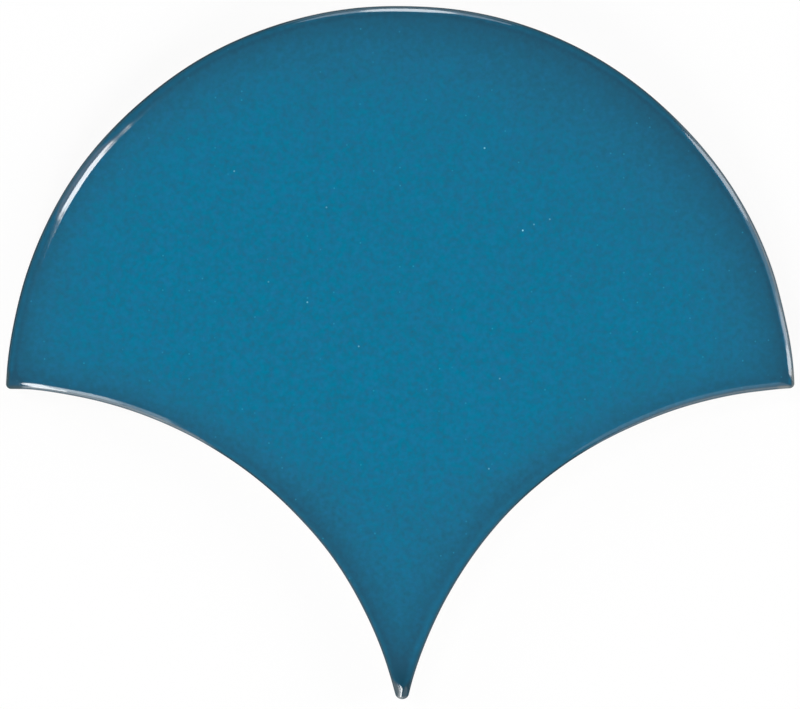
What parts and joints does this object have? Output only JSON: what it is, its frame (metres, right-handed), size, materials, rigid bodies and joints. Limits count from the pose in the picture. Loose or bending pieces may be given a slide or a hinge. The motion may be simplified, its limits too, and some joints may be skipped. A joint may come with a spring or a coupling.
{
  "type": "fish scale tile",
  "caption": "Flat fan-shaped glazed ceramic wall tile with a round upper edge, hollow lower edges that nest round its neighbours, a rounded shoulder and a grooved back.",
  "frame": {"origin": "centre of the round edge's circle, on the bedding plane at the back of the tile", "axes": "+X across the tile, +Y from the tip towards the round edge, +Z out of the glazed face"},
  "size_m": [0.12, 0.1055, 0.0085],
  "materials": {
    "glazed_tile": "gloss petrol blue glaze on the face and shoulder, running a little way down the wall; bare pale fired clay below it and on the back"
  },
  "bodies": {
    "root": {"fish_scale_tile": "glazed_tile"}
  },
  "joints": []
}
